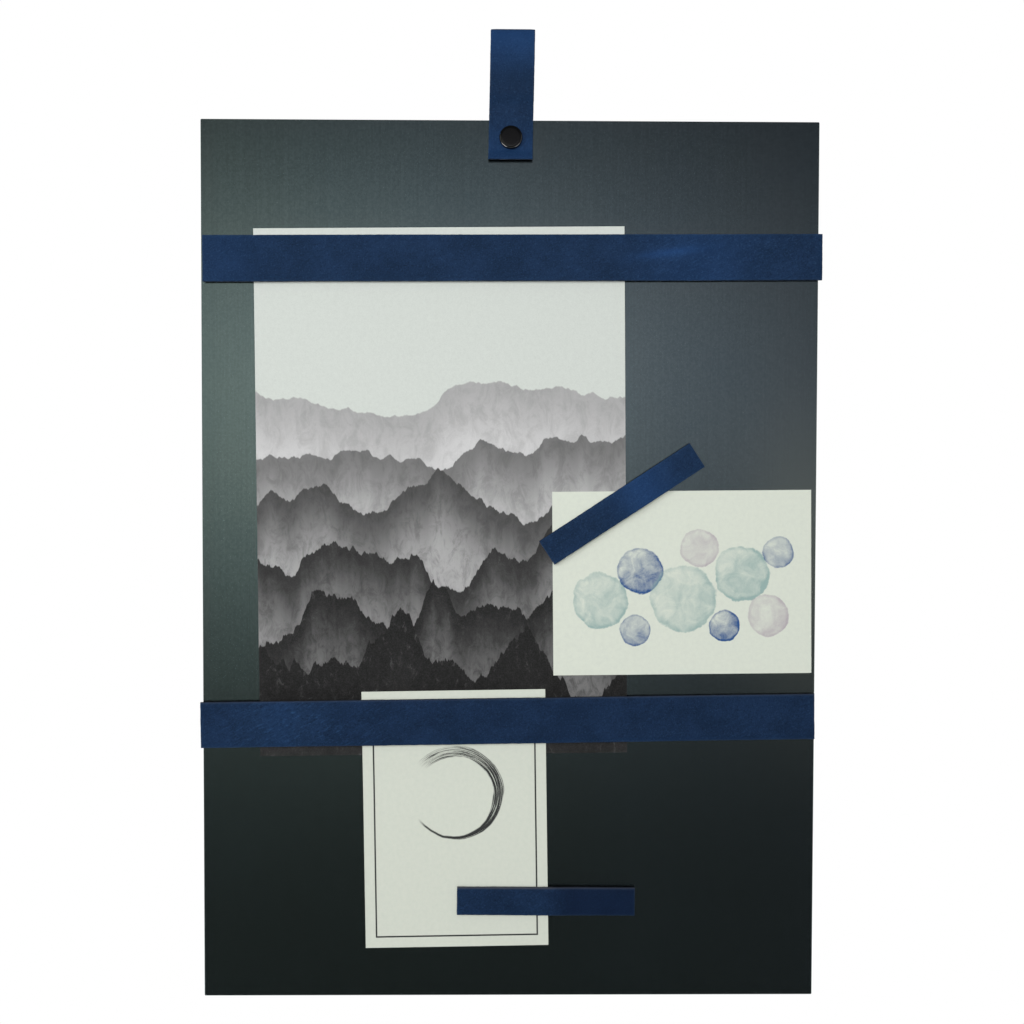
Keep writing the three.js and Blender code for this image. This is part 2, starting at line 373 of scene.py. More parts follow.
# Tint of what is mirrored from ahead, from the low left to the high right
WHITE = (1.0, 1.0, 1.0, 1.0)
LOW_LEFT_TINT = (1.02, 1.05, 0.915, 1.0)
HIGH_RIGHT_TINT = (0.99, 0.935, 1.075, 1.0)
TINT_REACH = 0.28
TINT_RISE = 0.6
TINT_SIDES = (-0.5, -0.84)

# Lamps: name, place, size and power
LAMPS = [
    ("front_lamp", (-0.08, -1.2, -0.1), 0.55, 6.7),
    ("key_lamp", (-1.5, -1.4, 0.1), 0.6, 12.5),
]

# Floor
FLOOR_DROP = 0.75
FLOOR_RADIUS = 0.8
FLOOR_SEGMENTS = 128
FLOOR_FADE_START = 0.2
FLOOR_SHADING = 0.35


# Shader helpers

def node_method(operation, swapped=False):
    """A method that puts a field and another value into a math node."""
    def method(field, other):
        values = (other, field) if swapped else (field, other)
        return field.tree.math(operation, *values)
    return method


class Field:
    """A value that varies over a surface, so that a node formula reads as arithmetic."""

    def __init__(self, tree, socket):
        self.tree = tree
        self.socket = socket

    __add__ = node_method("ADD")
    __radd__ = node_method("ADD", swapped=True)
    __sub__ = node_method("SUBTRACT")
    __rsub__ = node_method("SUBTRACT", swapped=True)
    __mul__ = node_method("MULTIPLY")
    __truediv__ = node_method("DIVIDE")
    __pow__ = node_method("POWER")
    least = node_method("MINIMUM")
    most = node_method("MAXIMUM")

    def absolute(self):
        return self.tree.math("ABSOLUTE", self)

    def swing(self, amount):
        """A noise's swing to both sides of its middle value."""
        return (self - 0.5) * amount


class Tree:
    """A node tree with short calls for the nodes that the materials share."""

    def __init__(self, owner):
        owner.use_nodes = True
        self.nodes = owner.node_tree.nodes
        self.links = owner.node_tree.links
        self.nodes.clear()
        self.start = None

    def put(self, socket, value):
        if isinstance(value, Field):
            self.links.new(value.socket, socket)
        else:
            socket.default_value = value

    def add(self, kind, inputs=None, **settings):
        node = self.nodes.new(kind)
        for name, value in settings.items():
            setattr(node, name, value)
        for name, value in (inputs or {}).items():
            self.put(node.inputs[name], value)
        return node

    def out(self, node, name):
        return Field(self, node.outputs[name])

    def math(self, operation, *values):
        node = self.add("ShaderNodeMath", operation=operation)
        for socket, value in zip(node.inputs, values):
            self.put(socket, value)
        return self.out(node, "Value")

    def length(self, across, rise):
        return self.math("SQRT", across ** 2.0 + rise ** 2.0)

    def bell(self, across, rise):
        """1 where both fields are 0, falling off smoothly around it."""
        return self.math("EXPONENT", 0.0 - across ** 2.0 - rise ** 2.0)

    def vector_math(self, operation, first, second):
        node = self.add("ShaderNodeVectorMath", operation=operation)
        self.put(node.inputs[0], first)
        self.put(node.inputs[1], second)
        return self.out(node, "Vector")

    def coordinates(self):
        """The piece's own coordinates in metres."""
        if self.start is None:
            self.start = self.out(self.add("ShaderNodeTexCoord"), "Object")
        return self.start

    def shift(self, distance):
        """Moves all patterns, so that pieces that share a material don't repeat each other."""
        distances = self.join(distance, distance, distance)
        self.start = self.vector_math("ADD", self.coordinates(), distances)

    def place(self):
        """The piece's own coordinates in millimetres, as fields right, depth and up."""
        return self.split(self.vector_math("DIVIDE", self.coordinates(), (MM, MM, MM)))

    def split(self, vector):
        node = self.add("ShaderNodeSeparateXYZ", {"Vector": vector})
        return tuple(self.out(node, axis) for axis in "XYZ")

    def join(self, x, y, z):
        return self.out(self.add("ShaderNodeCombineXYZ", {"X": x, "Y": y, "Z": z}), "Vector")

    def noise(self, vector, detail=3.0, roughness=0.6, distortion=0.0):
        inputs = {"Vector": vector, "Scale": 1.0, "Detail": detail}
        inputs.update({"Roughness": roughness, "Distortion": distortion})
        return self.out(self.add("ShaderNodeTexNoise", inputs), "Fac")

    def grain(self, size, **settings):
        """Noise with lumps of a size in metres: one size, or one each along X, Y and Z."""
        sizes = size if isinstance(size, tuple) else (size, size, size)
        return self.noise(self.vector_math("DIVIDE", self.coordinates(), sizes), **settings)

    def line_noise(self, along, length, detail=3.0, roughness=0.5):
        """Noise along one field, with swings about as long as a length in the field's units."""
        inputs = {"W": along, "Scale": 1 / length, "Detail": detail, "Roughness": roughness}
        return self.out(self.add("ShaderNodeTexNoise", inputs, noise_dimensions="1D"), "Fac")

    def cells(self, size):
        """Distance to the walls of cells of a size in metres."""
        inputs = {"Vector": self.coordinates(), "Scale": 1 / size}
        node = self.add("ShaderNodeTexVoronoi", inputs, feature="DISTANCE_TO_EDGE")
        return self.out(node, "Distance")

    def attribute(self, name):
        return self.out(self.add("ShaderNodeAttribute", attribute_name=name), "Fac")

    def smooth(self, value, low, high, start=0.0, end=1.0):
        """Eases from start to end while the value goes from low to high, or down to it."""
        inputs = {"Value": value, "From Min": low, "From Max": high}
        inputs.update({"To Min": start, "To Max": end})
        node = self.add("ShaderNodeMapRange", inputs, interpolation_type="SMOOTHSTEP")
        return self.out(node, "Result")

    def mix(self, share, first, second):
        node = self.add("ShaderNodeMix", data_type="RGBA")
        self.put(node.inputs["Factor"], share)
        self.put(node.inputs[6], first)
        self.put(node.inputs[7], second)
        return Field(self, node.outputs[2])

    def bump(self, height, strength, distance):
        inputs = {"Height": height, "Strength": strength, "Distance": distance}
        return self.out(self.add("ShaderNodeBump", inputs), "Normal")

    def surface(self, inputs):
        shader = self.add("ShaderNodeBsdfPrincipled", inputs)
        self.show("ShaderNodeOutputMaterial", shader.outputs["BSDF"])

    def show(self, kind, shader):
        """Ends the tree with an output node that shows a shader."""
        self.links.new(shader, self.add(kind).inputs["Surface"])


def material(name):
    made = bpy.data.materials.new(name)
    return made, Tree(made)


# Materials

def satin_steel():
    """Dark satin sheet with a faint upright brushing, a fine grain and a lighter haze by its right edge,
    which is painted reflection.
    """
    made, tree = material("satin_blued_steel")
    clouds = tree.grain(STEEL_CLOUD, detail=4.0, roughness=0.55)
    streaks = tree.grain((BRUSH_WIDTH, BRUSH_WIDTH, BRUSH_LENGTH))
    specks = tree.grain(STEEL_SPECK, detail=2.0)
    tint = tree.mix(tree.smooth(clouds, 0.35, 0.65), *STEEL_TONES)
    grained = tree.mix(tree.smooth(specks, 0.3, 0.7, end=STEEL_SPECK_SHARE), tint, STEEL_SPECK_TONE)
    brushed = tree.mix(tree.smooth(streaks, 0.35, 0.65, end=BRUSH_SHARE), grained, BRUSH_TONE)
    right, depth, up = tree.place()
    # Painted reflection: a clouded, lighter patch of the steel's colour by its right edge, on its face
    # only
    across = (right - (board_middle.x / MM + PAINTED_REFLECTION_PLACE[0])) / PAINTED_REFLECTION_REACH[0]
    rise = (up - (board_middle.z / MM + PAINTED_REFLECTION_PLACE[1])) / PAINTED_REFLECTION_REACH[1]
    haze = tree.bell(across, rise) * (PAINTED_REFLECTION_SHARE + clouds * PAINTED_REFLECTION_CLOUDING)
    haze = haze * tree.smooth(depth, PAINTED_REFLECTION_FADE, -PAINTED_REFLECTION_FADE)
    tree.surface({
        "Base Color": tree.mix(haze, brushed, PAINTED_REFLECTION_TONE),
        "Metallic": 1.0,
        "Roughness": STEEL_ROUGHNESS + specks.swing(STEEL_UNEVENNESS) + clouds.swing(STEEL_UNEVENNESS),
        "Normal": tree.bump(streaks + specks * 0.5, strength=0.05, distance=0.02 * MM),
    })
    return made


def leather_wrinkles(tree):
    """Noise drawn out into short wrinkles that run at a slant to the strap."""
    right, _, up = tree.place()
    along = (right + up * WRINKLE_SLANT) / WRINKLE_LENGTH
    across = (up - right * WRINKLE_LEAN) / WRINKLE_WIDTH
    return tree.noise(tree.join(along, 0.0, across), distortion=0.8)


def grain_leather():
    """Navy full-grain leather: cloudy dye, creases, specks and pores, lighter or darker by painted
    highlight and painted shade and by pull, with a painted highlight on upper edges.
    """
    made, tree = material("navy_grain_leather")
    tree.shift(tree.attribute("patch"))
    painted_light_and_pull = tree.attribute("painted_light_and_pull")
    clouds = tree.grain(LEATHER_CLOUD, detail=5.0, distortion=0.4)
    crease_sizes = (CREASE_LENGTH, CREASE_LENGTH, CREASE_WIDTH)
    creases = tree.grain(crease_sizes, detail=4.0, roughness=0.65, distortion=1.2)
    specks = tree.grain(LEATHER_SPECK, roughness=0.7)
    pebbles = tree.cells(LEATHER_PEBBLE)
    wrinkles = leather_wrinkles(tree)
    patches = tree.grain(WORKED_PATCH, detail=2.0, roughness=0.5)
    worked = tree.smooth(patches, 0.3, 0.55) * tree.attribute("creasing")
    furrows = tree.smooth(wrinkles, 0.46, 0.32, end=FURROW_SHARE) * worked
    ridges = tree.smooth(wrinkles, 0.54, 0.7, end=RIDGE_SHARE) * worked
    dyed = tree.mix(tree.smooth(clouds, 0.3, 0.7), *LEATHER_TONES)
    creased = tree.mix(tree.smooth(creases, 0.5, 0.75, end=CREASE_SHARE), dyed, CREASE_TONE)
    furrowed = tree.mix(furrows, creased, FURROW_TONE)
    ridged = tree.mix(ridges, furrowed, RIDGE_TONE)
    pored = tree.mix(tree.smooth(specks, 0.47, 0.3, end=PORE_SHARE), ridged, PORE_TONE)
    specked = tree.mix(tree.smooth(specks, 0.53, 0.72, end=SPECK_SHARE), pored, SPECK_TONE)
    # Painted highlight, with some pull-up lightening: a lighter, bluer tone
    lightened = tree.mix(painted_light_and_pull.most(0.0) * (0.7 + creases * 0.6), specked, PAINTED_LIGHT_AND_PULL_TONE)
    # Painted shade: a deeper tone where the light is weaker
    darkened = tree.mix((0.0 - painted_light_and_pull).most(0.0), lightened, PAINTED_SHADE_TONE)
    worn = tree.mix(tree.attribute("rim") * WORN_SHARE, darkened, WORN_TONE)
    height = tree.smooth(pebbles, 0.0, 0.25) + creases * 0.8 + specks * 0.5 + wrinkles * worked
    tree.surface({
        # Painted highlight on upper edges, where light falls from above
        "Base Color": tree.mix(tree.attribute("pale_share"), worn, PAINTED_EDGE_HIGHLIGHT),
        "Roughness": LEATHER_ROUGHNESS + specks.swing(0.25),
        "Specular IOR Level": LEATHER_SHINE,
        "Normal": tree.bump(height, strength=0.35, distance=0.06 * MM),
    })
    return made


def raw_leather():
    """The cut edge and the fibrous flesh side."""
    made, tree = material("navy_raw_leather")
    tree.shift(tree.attribute("patch"))
    fibres = tree.grain((FIBRE_LENGTH, FIBRE_WIDTH, FIBRE_LENGTH), detail=4.0, roughness=0.7)
    lumps = tree.grain(RAW_LUMP)
    dyed = tree.mix(tree.smooth(fibres, 0.3, 0.75), *RAW_TONES)
    tree.surface({
        # Painted highlight on an upper cut edge
        "Base Color": tree.mix(tree.attribute("pale_share"), dyed, PAINTED_EDGE_HIGHLIGHT),
        "Roughness": RAW_ROUGHNESS + lumps.swing(0.2),
        "Specular IOR Level": RAW_SHINE,
        "Normal": tree.bump(fibres + lumps, strength=0.5, distance=0.1 * MM),
    })
    return made


def magnet_tape():
    """Flexible magnet: dark brown rubber with fine lines along its length."""
    made, tree = material("magnet_tape")
    lines = tree.grain((TAPE_LINE_LENGTH, TAPE_LINE_WIDTH, TAPE_LINE_WIDTH))
    pale_share = tree.grain(TAPE_DUST)
    tree.surface({
        "Base Color": tree.mix(tree.smooth(pale_share, 0.3, 0.8), *TAPE_TONES),
        "Roughness": TAPE_ROUGHNESS + lines.swing(0.2),
        "Normal": tree.bump(lines, strength=0.2, distance=0.03 * MM),
    })
    return made


def black_steel():
    """Black lacquer with a little dust and haze."""
    made, tree = material("black_lacquered_steel")
    pale_share = tree.grain(LACQUER_DUST, detail=2.0)
    haze = tree.grain(LACQUER_HAZE, detail=4.0)
    dusty = tree.smooth(pale_share, 0.62, 0.78, end=LACQUER_DUST_SHARE)
    tree.surface({
        "Base Color": tree.mix(dusty, LACQUER_TONE, LACQUER_DUST_TONE),
        "Roughness": LACQUER_ROUGHNESS + haze.swing(0.08),
        "Specular IOR Level": LACQUER_SHINE,
        "Normal": tree.bump(haze, strength=0.05, distance=0.02 * MM),
    })
    return made


def paper(tree, tone):
    """Matte paper of a given colour field, with a fine tooth."""
    tooth = tree.grain(PAPER_TOOTH)
    tree.surface({
        "Base Color": tone,
        "Roughness": PAPER_ROUGHNESS + tooth.swing(0.2),
        "Specular IOR Level": PAPER_SHINE,
        "Normal": tree.bump(tooth, strength=0.12, distance=0.03 * MM),
    })


def paper_tone(tree, tones):
    """The slight unevenness of a paper between its two tones."""
    cloud = tree.smooth(tree.grain(PAPER_CLOUD, detail=4.0, roughness=0.7), 0.3, 0.75)
    return tree.mix(cloud, *tones)


def plain_paper(name, tones):
    made, tree = material(name)
    paper(tree, paper_tone(tree, tones))
    return made


def between(pair, share):
    """The value at a share of the way from the first to the second of a pair."""
    return pair[0] + (pair[1] - pair[0]) * share


def hills_print():
    """A black-and-white print of misty hills: each range is nearer, lower, darker and more wooded."""
    made, tree = material("hills_print")
    right, _, up = tree.place()
    picture = paper_tone(tree, PRINT_TONES)
    film = tree.grain(FILM_GRAIN, detail=2.0, roughness=0.7)
    for step in range(HILL_RANGES):
        near = step / (HILL_RANGES - 1)
        far = 1 - near
        outline = tree.line_noise(right + OUTLINE_SHIFT * step, between(OUTLINE_LENGTHS, near), 6.0, 0.52)
        treetops = tree.line_noise(right - TREETOP_SHIFT * step, between(TREETOP_LENGTHS, near), 2.0, 0.7)
        crest = between(CRESTS, near) + outline.swing(2 * between(CREST_SWINGS, near))
        below = crest + treetops * (TREETOP_HEIGHT * near) - up
        veil = tree.smooth(below, 0.0, between(MIST_DEPTHS, near))
        tone = between(HILL_TONES, 1 - far ** HILL_TONE_POWER)
        mist = between(MIST_TONES, 1 - far ** MIST_TONE_POWER)
        slope = tree.mix(veil, grey(tone), grey(mist))
        woods_width = between(WOODS_WIDTHS, near) * MM
        woods_height = between(WOODS_HEIGHTS, near) * MM
        woods_sizes = (woods_width, WOODS_DEPTH * MM, woods_height)
        woods = tree.grain(woods_sizes, detail=6.0, roughness=0.75, distortion=0.6)
        shade = tree.smooth(woods, 0.42, 0.66, end=between(WOODS_SHADES, near))
        shaded = tree.mix(shade, slope, grey(WOODS_SHADE_TONE * tone))
        light = tree.smooth(woods, 0.44, 0.3, end=WOODS_LIGHT * near)
        lit = tree.mix(light, shaded, grey(WOODS_LIGHT_TONE))
        picture = tree.mix(tree.smooth(below, -0.4, 0.5), picture, lit)
    paper(tree, tree.mix(tree.smooth(film, 0.3, 0.9, end=FILM_SHARE), picture, grey(FILM_TONE)))
    return made


def drops_card():
    """A warm white card with round watercolour drops whose pigment gathers at their rims."""
    made, tree = material("drops_card")
    right, _, up = tree.place()
    picture = paper_tone(tree, CARD_TONES)
    wobble = tree.grain(WOBBLE_SIZE, detail=5.0).swing(WOBBLE)
    bloom = tree.grain(BLOOM_SIZE, detail=5.0, distortion=1.0).swing(BLOOM)
    granules = tree.grain(GRANULE_SIZE, roughness=0.7).swing(GRANULES)
    for across, rise, radius, pigment, depth in DROPS:
        x = (right - across) / radius
        z = (up - rise) / radius
        reach = tree.length(x, z) + wobble
        inside = tree.smooth(reach, *DROP_EDGE)
        rim = tree.smooth(reach, *DROP_RIM)
        pooled = x * POOL_RIGHT - z * POOL_DOWN
        strength = (rim * RIM_DEPTH + pooled + bloom + granules + WASH_DEPTH) * depth
        picture = tree.mix(inside * strength.most(0.0), picture, pigment)
    paper(tree, picture)
    return made


def border_line(tree, right, up, half_width, half_height):
    """How much ink a plain border line leaves at each place of a card."""
    side = half_width - BORDER_INSET
    end = half_height - BORDER_INSET
    narrow = BORDER_HALF_WIDTH - BORDER_BLUR
    wide = BORDER_HALF_WIDTH + BORDER_BLUR
    within_sides = tree.smooth(right.absolute(), side + wide, side + narrow)
    within_ends = tree.smooth(up.absolute(), end + wide, end + narrow)
    on_side = tree.smooth((right.absolute() - side).absolute(), wide, narrow)
    on_end = tree.smooth((up.absolute() - end).absolute(), wide, narrow)
    return (on_side * within_ends).most(on_end * within_sides)


def brush_ring(tree, right, up):
    """How much ink an open ring leaves, drawn with a brush that spreads and runs dry."""
    height = up - RING_RISE
    radius = tree.length(right, height)
    angle = tree.math("ARCTAN2", height, right)
    sweep = tree.smooth(angle, -math.pi, math.pi)
    wander = tree.line_noise(angle, RING_WANDER_ANGLE).swing(RING_WANDER)
    from_line = (radius - RING_RADIUS - wander).absolute()
    half_stroke = STROKE_START + tree.smooth(sweep, *STROKE_GAIN_RUN) * STROKE_GAIN
    stretched = tree.join(angle * BRISTLES_AROUND, radius * BRISTLES_ACROSS, 0.0)
    bristles = tree.noise(stretched, detail=4.0, roughness=0.7)
    loaded = tree.smooth(from_line, half_stroke, half_stroke - STROKE_BLUR)
    dry_start, dry_end = (level - sweep * DRYING for level in DRY_LEVELS)
    dry = tree.smooth(bristles, dry_start, dry_end, start=1.0, end=DRY_INK)
    opened = tree.smooth(sweep, *RING_START) * tree.smooth(sweep, *RING_END)
    return loaded * dry * opened


def ring_card(half_width, half_height):
    """A white card in a darker tone, which is painted shade, with a thin border line and one open brush
    ring.
    """
    made, tree = material("ring_card")
    right, _, up = tree.place()
    border = border_line(tree, right, up, half_width, half_height)
    lined = tree.mix(border, paper_tone(tree, SHADED_CARD_TONES), INK)
    paper(tree, tree.mix(brush_ring(tree, right, up), lined, INK))
    return made


# Meshes

class Plate:
    """Where a flat upright node lies: middle, turn, sides, the depth of its back and its thickness."""

    def __init__(self, node):
        points = np.array([vertex.co for vertex in nodes[node].data.vertices])
        flat = np.unique(points[:, [0, 2]].round(6), axis=0)
        axes = np.linalg.svd(flat - flat.mean(0))[2]
        along = axes[np.argmax(abs(axes[:, 0]))]
        along = along * np.sign(along[0])
        upward = np.array([-along[1], along[0]])
        self.middle = (flat.min(0) + flat.max(0)) / 2
        self.turn = math.atan2(along[1], along[0])
        self.width = np.ptp(flat @ along)
        self.height = np.ptp(flat @ upward)
        self.back = points[:, 1].max()
        self.thickness = np.ptp(points[:, 1])

    def matrix(self):
        shift = Matrix.Translation((self.middle[0], self.back, self.middle[1]))
        return shift @ Matrix.Rotation(-self.turn, 4, "Y")


def slab(width, height, rim, cell):
    """A closed slab standing in XZ, as points, faces and the number of faces in its front and rim.

    rim lists (inset, depth) pairs from the front's border to the back's border.
    """
    columns = max(2, round(width / cell))
    rows = max(2, round(height / cell))
    index = np.arange((columns + 1) * (rows + 1)).reshape(columns + 1, rows + 1)
    border = np.concatenate([index[:-1, 0], index[-1, :-1], index[:0:-1, -1], index[0, :0:-1]])

    def layer(inset, depth):
        across = np.linspace(inset - width / 2, width / 2 - inset, columns + 1)
        upward = np.linspace(inset - height / 2, height / 2 - inset, rows + 1)
        x, z = np.meshgrid(across, upward, indexing="ij")
        return np.stack([x, np.full_like(x, depth), z], axis=-1).reshape(-1, 3)

    layers = [layer(*pair) for pair in rim]
    rings = [ring[border] for ring in layers[1:-1]]
    points = np.concatenate([layers[0], *rings, layers[-1]])
    corners = [index[:-1, :-1], index[1:, :-1], index[1:, 1:], index[:-1, 1:]]
    quads = np.stack(corners, axis=-1).reshape(-1, 4)
    ring_starts = [len(layers[0]) + step * len(border) for step in range(len(rings))]
    back_start = len(layers[0]) + len(rings) * len(border)
    loops = [border]
    loops += [start + np.arange(len(border)) for start in ring_starts]
    loops += [back_start + border]
    walls = []
    for near, far in zip(loops, loops[1:]):
        walls.append(np.stack([near, far, np.roll(far, -1), np.roll(near, -1)], axis=-1))
    faces = np.concatenate([quads, *walls, quads[:, ::-1] + back_start])
    return points, faces, len(quads), len(border)


def mesh_object(name, points, faces):
    mesh = bpy.data.meshes.new(name)
    mesh.from_pydata(np.asarray(points).tolist(), [], [list(map(int, face)) for face in faces])
    mesh.polygons.foreach_set("use_smooth", np.ones(len(mesh.polygons), bool))
    mesh.update()
    mesh.set_sharp_from_angle(angle=SHARP_ANGLE)
    made = bpy.data.objects.new(name, mesh)
    bpy.context.scene.collection.objects.link(made)
    return made


def settle(made, matrix, body, slot, *replaced):
    """Puts a piece in its place, on its body, instead of the solids that it stands for."""
    made.matrix_world = matrix
    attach(made, body)
    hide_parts(*replaced)


def ease(value, start, run):
    share = np.clip((value - start) / run, 0, 1)
    return share * share * (3 - 2 * share)


def swell(value, middle, reach):
    """1 at the middle, falling off smoothly over a reach."""
    return np.exp(-((value - middle) / reach) ** 2)


def shares_along(along, base, stretches):
    """A base share along a piece, and more of it in stretches with a share, a middle and a reach."""
    added = np.zeros_like(along)
    for share, middle, reach in stretches:
        added += share * swell(along, middle, reach)
    return base + added


def waves(points, length, seed):
    """Seeded noise from -1 to 1 at each point, with swings of about a length."""
    shift = Vector((seed, SEED_SKEW * seed, -seed))
    return np.array([noise.noise(Vector(point) / length + shift) for point in points])


def leather_slab(width, height, thickness, cell, seed):
    """A cut strap lying flat: points, faces, face counts and each point's nearness to its edge."""
    rim = []
    for step in range(EDGE_STEPS + 1):
        angle = math.pi / 2 * step / EDGE_STEPS
        inset = LEATHER_EDGE_ROUND * (1 - math.sin(angle))
        rim.append((inset, -thickness + LEATHER_EDGE_ROUND * (1 - math.cos(angle))))
    rim += [(0, -LEATHER_BACK_ROUND), (LEATHER_BACK_ROUND, 0)]
    points, faces, front, ring = slab(width, height, rim, cell)
    to_side = width / 2 - abs(points[:, 0])
    to_end = height / 2 - abs(points[:, 2])
    nearness = 1 - ease(np.minimum(to_side, to_end), 0, LEATHER_SINK_WIDTH)
    frontness = np.clip(-points[:, 1] / thickness, 0, 1)
    wander = CUT_WANDER * waves(points, CUT_WANDER_LENGTH, seed)
    wander += CUT_ROUGHNESS * waves(points, CUT_ROUGHNESS_LENGTH, seed + ROUGHNESS_SEED)
    lift = HIDE_SWELL * waves(points, HIDE_SWELL_LENGTH, seed + SWELL_SEED)
    bent = points.copy()
    bent[:, 0] += np.sign(points[:, 0]) * wander * (1 - ease(to_side, 0, LEATHER_SINK_WIDTH))
    bent[:, 2] += np.sign(points[:, 2]) * wander * (1 - ease(to_end, 0, LEATHER_SINK_WIDTH))
    bent[:, 1] += frontness * (nearness * LEATHER_EDGE_SINK + lift)
    return bent, faces, front, ring, nearness


def dress_leather(made, front, ring, nearness, painted_light_and_pull, creasing, pale_share, seed):
    """Grain on the face and its rounded border, raw hide on the cut edge and the back."""
    made.data.materials.append(leather_material)
    made.data.materials.append(raw_material)
    raw = np.ones(len(made.data.polygons), np.int32)
    raw[:front + ring * (EDGE_STEPS - 1)] = 0
    made.data.polygons.foreach_set("material_index", raw)
    fields = {
        "rim": nearness ** WORN_POWER,
        "painted_light_and_pull": painted_light_and_pull,
        "creasing": creasing,
        "pale_share": pale_share,
        "patch": np.full_like(painted_light_and_pull, HIDE_PATCH * seed),
    }
    for name, values in fields.items():
        attribute = made.data.attributes.new(name, "FLOAT", "POINT")
        attribute.data.foreach_set("value", values.astype(np.float32))


def magnetic_leather(name, seed, drop, painted_light_and_pull, creasing, edge_highlighting):
    """A strap or strip with its tape.

    drop gives depth along it, the next function its lightening and darkening along and across it, partly
    painted highlight and painted shade, creasing the wear by wrinkles, and the last function the share of
    painted highlight along its upper edge.
    """
    plate = Plate(f"{name}_leather")
    points, faces, front, ring, nearness = leather_slab(
        plate.width, plate.height, plate.thickness, LEATHER_CELL, seed
    )
    along = points[:, 0].copy()
    lightness = painted_light_and_pull(along, points[:, 2])
    points[:, 1] += drop(along)
    # Painted highlight along the upper edge, fading down the face
    pale_share = edge_highlighting(along) * ease(points[:, 2], plate.height / 2 - EDGE_HIGHLIGHT_REACH, EDGE_HIGHLIGHT_REACH)
    leather = mesh_object(f"{name}_hide", points, faces)
    dress_leather(leather, front, ring, nearness, lightness, shares_along(along, *creasing), pale_share, seed)
    settle(leather, plate.matrix(), name, "leather", f"{name}_leather")

    plate = Plate(f"{name}_magnet")
    points, faces, _, _ = slab(plate.width, plate.height, [(0, -plate.thickness), (0, 0)], TAPE_CELL)
    points[:, 1] += drop(points[:, 0])
    tape = mesh_object(f"{name}_tape", points, faces)
    tape.data.materials.append(tape_material)
    settle(tape, plate.matrix(), name, "magnet_tape", f"{name}_magnet")


def paper_sheet(name, node, body, slot, drop, front_material, back_material):
    plate = Plate(node)
    rim = [(0, -plate.thickness), (0, 0)]
    points, faces, front, _ = slab(plate.width, plate.height, rim, PAPER_CELL)
    points[:, 1] += drop(points[:, 0], points[:, 2])
    sheet = mesh_object(name, points, faces)
    sheet.data.materials.append(front_material)
    sheet.data.materials.append(back_material)
    plain = np.ones(len(faces), np.int32)
    plain[:front] = 0
    sheet.data.polygons.foreach_set("material_index", plain)
    settle(sheet, plate.matrix(), body, slot, node)


def bezier(share, *points):
    """Points on the curve with the given control points, at an array of shares of its run."""
    points = [np.array(point) for point in points]
    while len(points) > 1:
        points = [first + (second - first) * share for first, second in zip(points, points[1:])]
    return points[0]


def fold_line(leg, thickness, leg_end, board_top):
    """The loop's middle line from the side: (y, z) points from the front leg's end to the rear's."""
    eye = EYE_HALF_WIDTH + thickness / 2
    fold = FOLD_INSIDE_RADIUS + thickness / 2
    part_height = board_top + LEGS_TOGETHER_RISE
    eye_height = board_top + EYE_WIDEST_RISE
    half_rise = (eye_height - part_height) / 2
    fold_y = -fold * math.cos(FOLD_LEAN)
    fold_z = fold * math.sin(FOLD_LEAN) - FOLD_INSIDE_RADIUS
    lean_height = fold_z - (eye + fold_y) / math.tan(FOLD_LEAN)
    part = (-leg, part_height)
    widest = (-eye, eye_height)
    share = np.linspace(0, 1, LINE_STEPS)[:, None]
    leg_line = bezier(share, (-leg, leg_end), part)
    parting = bezier(share, part, (-leg, part_height + half_rise), (-eye, eye_height - half_rise), widest)
    closing = bezier(share, widest, (-eye, lean_height), (fold_y, fold_z))
    angle = math.pi - FOLD_LEAN + share * (FOLD_LEAN - math.pi / 2)
    top = np.hstack([fold * np.cos(angle), fold * np.sin(angle) - FOLD_INSIDE_RADIUS])
    front = np.concatenate([leg_line, parting[1:], closing[1:], top[1:]])
    rear = front[-2::-1] * (-1, 1)
    return np.concatenate([front, rear])


def cut(made, cutter):
    """Takes the cutter's space out of a piece."""
    modifier = made.modifiers.new("cut", "BOOLEAN")
    modifier.operation = "DIFFERENCE"
    modifier.solver = "EXACT"
    modifier.object = cutter
    bpy.context.view_layer.update()
    evaluated = made.evaluated_get(bpy.context.evaluated_depsgraph_get())
    result = bpy.data.meshes.new_from_object(evaluated)
    made.modifiers.clear()
    made.data = result
    bpy.data.objects.remove(cutter)


def turned(name, outline):
    """A piece turned about Y from (radius, y) points that start and end on the axis."""
    outline = np.array(outline)
    angles = np.linspace(0, 2 * math.pi, ROUND_SEGMENTS, endpoint=False)
    circle = np.stack([np.cos(angles), np.zeros_like(angles), np.sin(angles)], 1)
    rings = [radius * circle + (0, y, 0) for radius, y in outline[1:-1]]
    points = np.concatenate([*rings, [(0, outline[0, 1], 0)], [(0, outline[-1, 1], 0)]])
    around = np.arange(ROUND_SEGMENTS)
    onward = np.roll(around, -1)
    faces = []
    for step in range(len(rings) - 1):
        near = step * ROUND_SEGMENTS
        far = near + ROUND_SEGMENTS
        faces += np.stack([near + around, far + around, far + onward, near + onward], 1).tolist()
    first = np.full_like(around, len(points) - 2)
    last = first + 1
    last_ring = (len(rings) - 1) * ROUND_SEGMENTS
    faces += np.stack([first, around, onward], 1).tolist()
    faces += np.stack([last, last_ring + onward, last_ring + around], 1).tolist()
    return mesh_object(name, points, faces)


def box_cutter(low, high):
    sides = list(zip(low, high))
    corners = [(x, y, z) for z in sides[2] for y in sides[1] for x in sides[0]]
    faces = [(0, 2, 3, 1), (4, 5, 7, 6), (0, 1, 5, 4), (2, 6, 7, 3), (0, 4, 6, 2), (1, 3, 7, 5)]
    return mesh_object("cutter", corners, faces)


def quarter(radius, y, round_radius, from_angle, to_angle):
    angles = np.linspace(from_angle, to_angle, RIM_STEPS + 1)
    return [(radius + round_radius * math.cos(a), y + round_radius * math.sin(a)) for a in angles]


# Places and materials that the pieces share

